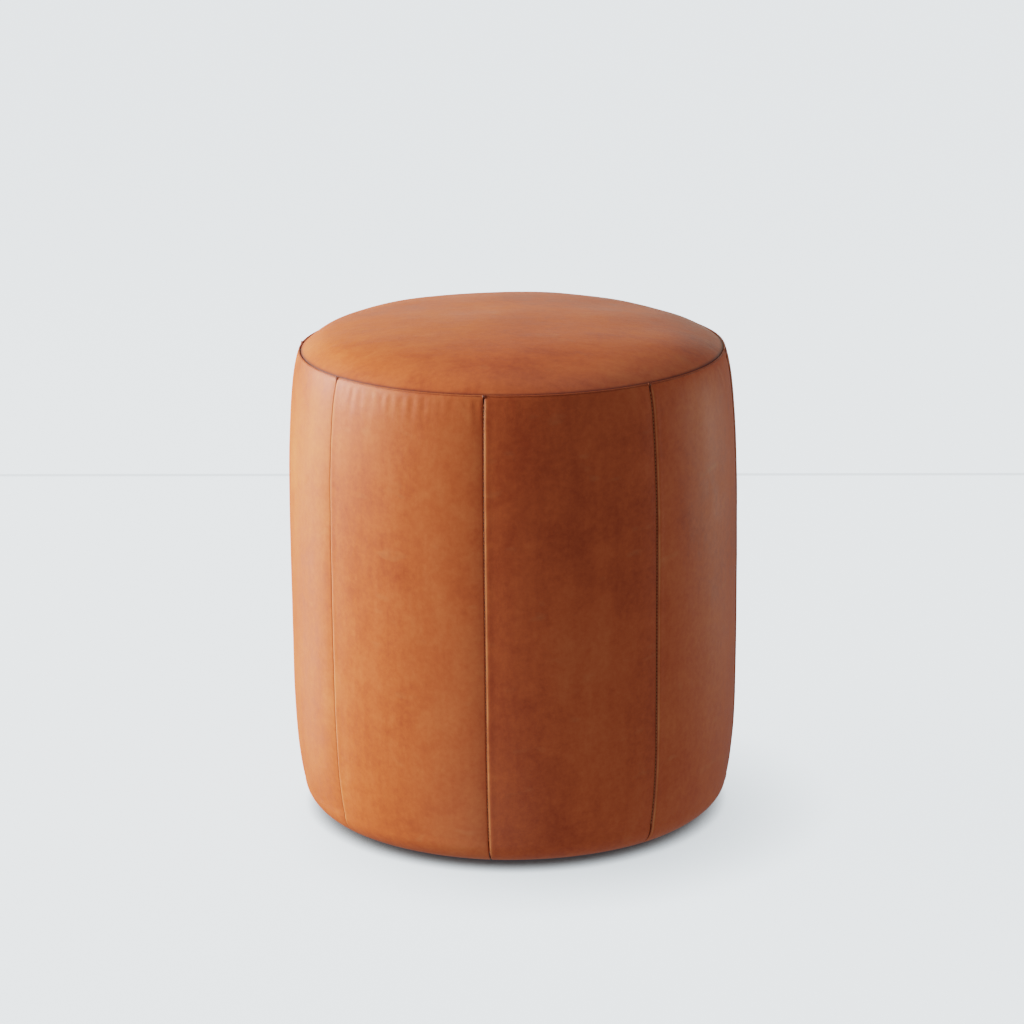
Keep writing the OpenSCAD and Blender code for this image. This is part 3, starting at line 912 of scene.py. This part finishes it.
def dust_sheet():
    """The dust cover: black cloth stapled under the base, slack between its staples, open at each glide."""
    low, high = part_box("dust_cover")
    edge_r, thick = high.x, 0.5 * MM
    rings, columns = 68, 240
    radius = edge_r * np.linspace(0.004, 1, rings)[:, None]
    azimuth = np.linspace(0, 2 * math.pi, columns, endpoint=False)
    x, y = radius * np.cos(azimuth), radius * np.sin(azimuth)
    slack = 0.25 * MM * (1 + waves(31, 12, 0.03, 0.12)(x, y)) * smooth(0, 40 * MM, edge_r - radius)
    z = low.z + 0.02 * MM + np.minimum(slack, 0.09 * MM)
    points = np.stack([x, y, z], axis=-1).reshape(-1, 3)
    obj = mesh_object("dust_cloth", points, grid_faces(rings, columns, 0, wrap=True))
    bosses = [(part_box(f"glide_{i}")[0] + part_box(f"glide_{i}")[1]) / 2 for i in range(1, POSTS + 1)]
    work = bmesh.new()
    work.from_mesh(obj.data)
    gone = [f for f in work.faces if min((f.calc_center_median().xy - b.xy).length for b in bosses) < 8 * MM]
    bmesh.ops.delete(work, geom=gone, context="FACES")
    bmesh.ops.remove_doubles(work, verts=[v for v in work.verts if v.co.xy.length < 1 * MM], dist=2 * MM)
    bmesh.ops.solidify(work, geom=work.faces, thickness=thick)
    work.to_mesh(obj.data)
    work.free()
    return obj, 2 * edge_r


def build_cover():
    """The leather cover in place of its CAD solids."""
    tones = (-0.10, 0.08, 0.0, -0.05, 0.06, 0.0, 0.05, 0.0)
    for i, tone in zip(range(1, PANELS + 1), tones):
        skin = leather(f"leather_side_{i}", i, (30, 30, 3), tone)
        obj = finish_piece(side_panel(i), skin, "cover_leather", f"side_panel_{i}")
        width = DRUM_R * PANEL_ANGLE + 2 * ALLOWANCE
    skin = leather("leather_top", 11, (5, 34, 20))
    obj = finish_piece(top_cover(), skin, "cover_leather", "top_panel")
    thread = thread_material()
    finish_piece(top_stitches(), thread, "seam_thread", "top_seam_thread")
    finish_piece(side_stitches(), thread, "seam_thread", "side_seam_threads")
    cloth, width = dust_sheet()
    finish_piece(cloth, dust_cloth(), "dust_cloth", "dust_cover")


def give_material(material, *names):
    """Puts a material on CAD nodes that are shown as they are."""
    for name in names:
        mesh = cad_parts[name].data
        mesh.materials.clear()
        mesh.materials.append(material)


def dress_cad():
    """Materials of the CAD nodes that stay."""
    give_material(plywood(), "seat_board", "mid_ring", "base_board")
    pine = wood("post_pine", rgb(190, 148, 96), rgb(226, 190, 138), (45, 45, 5), knots=9.0)
    give_material(pine, *[f"post_{i}" for i in range(1, POSTS + 1)])
    give_material(hardboard(), "shell_board")
    give_material(metal("staple_wire", rgb(176, 178, 180), 0.3),
                  "shell_staples", "leather_staples", "dust_cover_staples")
    give_material(metal("screw_zinc", rgb(206, 190, 140), 0.25), "seat_screws", "base_screws", "glide_screws")
    give_material(plastic(), *[f"glide_{i}" for i in range(1, POSTS + 1)])


# ---------------------------------------------------------------- camera, light and floor

# The picture's tone curve is x / (1 + TONE x), which holds back the highlights
TONE = 1.0
TONE_WHITE = 5.0
TONE_POINTS = 12

# The stage, a wide floor that gives its own light, with one thin line across it
FLOOR_GLOW = (3.16, 3.48, 3.68, 1.0)
FLOOR_REACH = 16
FLOOR_ALBEDO = 0.10
CONTACT = 20 * MM  # how near the drum has to be to darken the floor as it does at its foot
SHADE_REACH = 120 * MM  # how near it has to be to dim the floor at all
SHADE_SIDE = (-0.62, 0.58, 0.52)  # where the light comes from that the drum then hides
SHADE_SAMPLES = 16
LINE_REACH = 8
LINE_NEAR, LINE_FAR = 1.144, 1.156
LINE_LEAN = -0.034
LINE_SHARE = 0.74  # the line's brightness, as a share of the floor's

WORLD_COLOUR = (1.0, 0.985, 0.96, 1.0)
WORLD_STRENGTH = 0.30

# Name, place, target, width, height, power in watts and colour. Those below z = 0 stand for the light
# that a pale floor throws back.
LIGHTS = (
    ("key", (-2.6, 0.3, 1.1), (0, 0, 0.25), 2.4, 1.8, 430, (1.0, 0.98, 0.94)),
    ("above", (0.2, 0.6, 2.4), (0, 0, 0.4), 1.8, 1.0, 8, (1.0, 1.0, 1.0)),
    ("rim", (2.3, 1.1, -0.1), (0, 0, 0.25), 0.9, 0.6, 16, (1.0, 0.7, 0.48)),
    ("left rim", (-2.2, 1.3, -0.5), (0, 0, 0.2), 0.8, 0.8, 20, (1.0, 0.96, 0.86)),
    ("behind", (-0.3, 2.5, 0.75), (0, 0, 0.45), 3.2, 0.4, 12.5, (1.0, 0.98, 0.74)),
    ("floor", (-0.3, -0.72, -0.35), (-0.05, -0.1, 0.1), 0.7, 0.3, 1.5, (1.0, 0.97, 0.92)),
)


def make_camera():
    """A long lens a little above the seat, turned so that the drum stands just below the middle."""
    target = Vector((0, 0, WALL_LOW + 0.2))
    away, rise = 3.027, math.radians(16.92)
    tip, turn, roll = math.radians(1.255), math.radians(0.04), math.radians(0.577)
    camera = bpy.data.cameras.new("camera")
    camera.lens = 116.2
    camera.sensor_width = 36
    camera.clip_end = 50
    obj = bpy.data.objects.new("camera", camera)
    bpy.context.scene.collection.objects.link(obj)
    place = target + away * Vector((0, -math.cos(rise), math.sin(rise)))
    level = Matrix.Rotation(math.pi / 2 - rise + tip, 4, "X")
    aim = Matrix.Rotation(turn, 4, "Z") @ level
    lean = Matrix.Rotation(roll, 4, (target - place).normalized())
    obj.matrix_world = Matrix.Translation(place) @ lean @ aim
    bpy.context.scene.camera = obj


def area_light(name, place, target, width, height, power, colour):
    """A soft box that faces its target and is itself out of the picture."""
    light = bpy.data.lights.new(name, "AREA")
    light.shape = "RECTANGLE"
    light.size, light.size_y = width, height
    light.energy = power
    light.color = colour
    obj = bpy.data.objects.new(name, light)
    bpy.context.scene.collection.objects.link(obj)
    obj.location = place
    obj.rotation_mode = "QUATERNION"
    obj.rotation_quaternion = (Vector(target) - Vector(place)).to_track_quat("-Z", "Y")
    obj.visible_camera = False


def stage_paint(name, level, shaded):
    """A pale even surface that gives its own light. A shaded one is dark close under the drum, and
    dimmed where the drum hides the light from the back left."""
    n = Nodes(name)
    speck = n.noise(2.0, 2.0)
    glow = n.mix(n.ramp(speck, 0.3, 0.7), tuple(0.998 * c for c in level[:3]) + (1,), level)
    n.put(n.shader.inputs["Emission Color"], glow)
    if shaded:
        near = n.openness(CONTACT, SHADE_SAMPLES)
        far = n.openness(SHADE_REACH, SHADE_SAMPLES, n.direction(SHADE_SIDE))
        near, far = n.ramp(near, 0.15, 0.7, 0.02, 1.0), n.ramp(far, 0.1, 0.9, 0.4, 1.0)
        n.put(n.shader.inputs["Emission Strength"], n.math("MULTIPLY", near, far))
    else:
        n.shader.inputs["Emission Strength"].default_value = 1.0
    albedo = (FLOOR_ALBEDO, FLOOR_ALBEDO, FLOOR_ALBEDO, 1)
    return n.finish(albedo, 0.9, Specular_IOR_Level=0.0)


def flat_piece(name, x, y_low, y_high, lean, z, material):
    """A flat piece of the stage, from -x to x, its far and near edges turned by a slope."""
    corners = [(-x, y_low - lean * x, z), (x, y_low + lean * x, z)]
    corners += [(x, y_high + lean * x, z), (-x, y_high - lean * x, z)]
    obj = mesh_object(name, corners, [(0, 1, 2, 3)])
    obj.data.materials.append(material)
    obj.visible_diffuse = False
    obj.visible_glossy = False
    obj.visible_shadow = False


def make_stage():
    """A wide pale floor with one faint line across it, not far behind the drum."""
    floor = stage_paint("stage_floor", FLOOR_GLOW, True)
    flat_piece("floor", FLOOR_REACH, -FLOOR_REACH, FLOOR_REACH, 0, 0, floor)
    line_glow = tuple(LINE_SHARE * c for c in FLOOR_GLOW[:3]) + (1,)
    line = stage_paint("stage_line", line_glow, False)
    flat_piece("floor_line", LINE_REACH, LINE_NEAR, LINE_FAR, LINE_LEAN, 0.5 * MM, line)


def tone_curve():
    """Gives the picture its tone curve, as points on Blender's own curve over 0 to TONE_WHITE."""
    view = bpy.context.scene.view_settings
    view.view_transform = "Standard"
    view.look = "None"
    view.use_curve_mapping = True
    mapping = view.curve_mapping
    mapping.white_level = (TONE_WHITE, TONE_WHITE, TONE_WHITE)
    curve = mapping.curves[3]
    for k in range(1, TONE_POINTS + 1):
        share = (k / TONE_POINTS) ** 2
        value = TONE_WHITE * share / (1 + TONE * TONE_WHITE * share)
        if k < TONE_POINTS:
            curve.points.new(share, value)
        else:
            curve.points[-1].location = (share, value)
    mapping.update()


def make_light():
    """A dim even surround, and the studio's lights."""
    world = bpy.data.worlds.new("studio")
    bpy.context.scene.world = world
    world.use_nodes = True
    back = world.node_tree.nodes["Background"]
    back.inputs["Color"].default_value = WORLD_COLOUR
    back.inputs["Strength"].default_value = WORLD_STRENGTH
    for light in LIGHTS:
        area_light(*light)


make_camera()
make_stage()
make_light()
tone_curve()
padding()
build_cover()
dress_cad()
